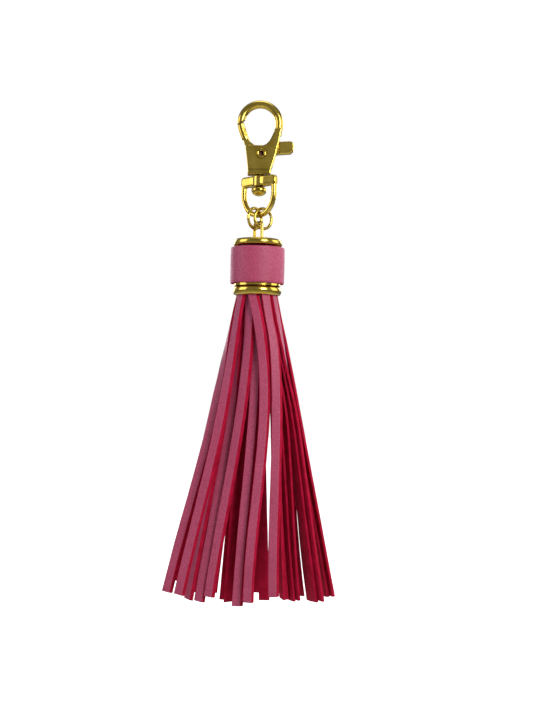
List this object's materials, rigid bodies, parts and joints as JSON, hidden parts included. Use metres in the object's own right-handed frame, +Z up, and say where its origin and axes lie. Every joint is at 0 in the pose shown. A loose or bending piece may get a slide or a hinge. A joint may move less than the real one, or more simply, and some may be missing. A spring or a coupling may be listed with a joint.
{
  "type": "tassel bag charm",
  "caption": "Leather tassel charm hanging from a swivel lobster clasp, with jump rings, a metal cap wrapped in leather and a splayed two-tone fringe.",
  "frame": {"origin": "seat inside the top of the hook, where the charm hangs on what it is clipped to", "axes": "+Z up through the hook, -Y out of the clasp's riveted front, +X towards the thumb lever"},
  "size_m": [0.0588, 0.0192, 0.1714],
  "materials": {
    "gold_plate": "polished gold plating",
    "spring_steel": "drawn wire",
    "pink_leather": "fine grain, satin",
    "crimson_backing": "matte backing and cut edges"
  },
  "bodies": {
    "clasp_body": {"hook_body": "gold_plate", "pivot_rivet": "gold_plate", "swivel_post": "gold_plate"},
    "gate": {"gate_lever": "gold_plate", "gate_spring": "spring_steel"},
    "eye": {"swivel_eye": "gold_plate"},
    "left_ring": {"jump_ring_left": "gold_plate"},
    "right_ring": {"jump_ring_right": "gold_plate"},
    "tassel": {"cap_loop": "gold_plate", "cap_top_disc": "gold_plate", "cap_sleeve": "gold_plate", "leather_band": "pink_leather", "bottom_ring": "gold_plate", "fringe_roll": "crimson_backing", "strip_second_01": "pink_leather", "strip_second_02": "pink_leather", "strip_second_03": "pink_leather", "strip_second_04": "pink_leather", "strip_second_05": "pink_leather", "strip_second_06": "pink_leather", "strip_second_07": "pink_leather", "strip_second_08": "pink_leather", "strip_third_01": "pink_leather", "strip_third_02": "pink_leather", "strip_third_03": "pink_leather", "strip_third_04": "pink_leather", "strip_third_05": "pink_leather", "strip_third_06": "pink_leather", "strip_fourth_01": "pink_leather", "strip_fourth_02": "pink_leather", "strip_fourth_03": "pink_leather", "strip_fourth_04": "pink_leather", "strip_core_01": "pink_leather", "strip_core_02": "pink_leather"},
    "outer_01": {"strip_outer_01": "pink_leather"},
    "outer_02": {"strip_outer_02": "pink_leather"},
    "outer_03": {"strip_outer_03": "pink_leather"},
    "outer_04": {"strip_outer_04": "pink_leather"},
    "outer_05": {"strip_outer_05": "pink_leather"},
    "outer_06": {"strip_outer_06": "pink_leather"},
    "outer_07": {"strip_outer_07": "pink_leather"},
    "outer_08": {"strip_outer_08": "pink_leather"},
    "outer_09": {"strip_outer_09": "pink_leather"},
    "outer_10": {"strip_outer_10": "pink_leather"}
  },
  "joints": [
    {"name": "gate_hinge", "type": "hinge", "parent": "clasp_body", "child": "gate", "pos_m": [0.0006, 0, -0.0158], "axis": [0, 1, 0], "range_deg": [0, 24], "stiffness_Nm_per_rad": 0.02, "springref_deg": -20.05, "deforming": ["gate_spring"]},
    {"name": "swivel", "type": "hinge", "parent": "clasp_body", "child": "eye", "pos_m": [0, 0, -0.0249], "axis": [0, 0, 1], "continuous": true},
    {"name": "ring_swing", "type": "hinge", "parent": "eye", "child": "left_ring", "pos_m": [0, 0, -0.0363], "axis": [0.829, -0.5592, 0], "range_deg": [-35, 35]},
    {"name": "right_ring_swing", "type": "hinge", "parent": "eye", "child": "right_ring", "pos_m": [0, 0, -0.0363], "axis": [0.829, -0.5592, 0], "range_deg": [-35, 35]},
    {"name": "tassel_swing", "type": "hinge", "parent": "left_ring", "child": "tassel", "pos_m": [0, 0, -0.0399], "axis": [0.5736, -0.8191, 0], "range_deg": [-20, 20]},
    {"name": "outer_01_bend", "type": "hinge", "parent": "tassel", "child": "outer_01", "pos_m": [-0.00635, 0, -0.0639], "axis": [0, 1, 0], "range_deg": [0, 25]},
    {"name": "outer_02_bend", "type": "hinge", "parent": "tassel", "child": "outer_02", "pos_m": [-0.005, -0.00391, -0.0639], "axis": [-0.6157, 0.788, 0], "range_deg": [0, 25]},
    {"name": "outer_03_bend", "type": "hinge", "parent": "tassel", "child": "outer_03", "pos_m": [-0.00132, -0.00621, -0.0639], "axis": [-0.9781, 0.2079, 0], "range_deg": [0, 25]},
    {"name": "outer_04_bend", "type": "hinge", "parent": "tassel", "child": "outer_04", "pos_m": [0.00298, -0.00561, -0.0639], "axis": [-0.8829, -0.4695, 0], "range_deg": [0, 25]},
    {"name": "outer_05_bend", "type": "hinge", "parent": "tassel", "child": "outer_05", "pos_m": [0.00563, -0.00293, -0.0639], "axis": [-0.4618, -0.887, 0], "range_deg": [0, 25]},
    {"name": "outer_06_bend", "type": "hinge", "parent": "tassel", "child": "outer_06", "pos_m": [0.0063, 0.00077, -0.0639], "axis": [0.1219, -0.9925, 0], "range_deg": [0, 25]},
    {"name": "outer_07_bend", "type": "hinge", "parent": "tassel", "child": "outer_07", "pos_m": [0.00476, 0.00421, -0.0639], "axis": [0.6626, -0.749, 0], "range_deg": [0, 25]},
    {"name": "outer_08_bend", "type": "hinge", "parent": "tassel", "child": "outer_08", "pos_m": [0.00154, 0.00616, -0.0639], "axis": [0.9703, -0.2419, 0], "range_deg": [0, 25]},
    {"name": "outer_09_bend", "type": "hinge", "parent": "tassel", "child": "outer_09", "pos_m": [-0.00222, 0.00595, -0.0639], "axis": [0.9367, 0.3502, 0], "range_deg": [0, 25]},
    {"name": "outer_10_bend", "type": "hinge", "parent": "tassel", "child": "outer_10", "pos_m": [-0.0052, 0.00364, -0.0639], "axis": [0.5736, 0.8191, 0], "range_deg": [0, 25]}
  ],
  "couplings": [
    {"joint": "right_ring_swing", "follows": "ring_swing", "ratio": 1}
  ]
}
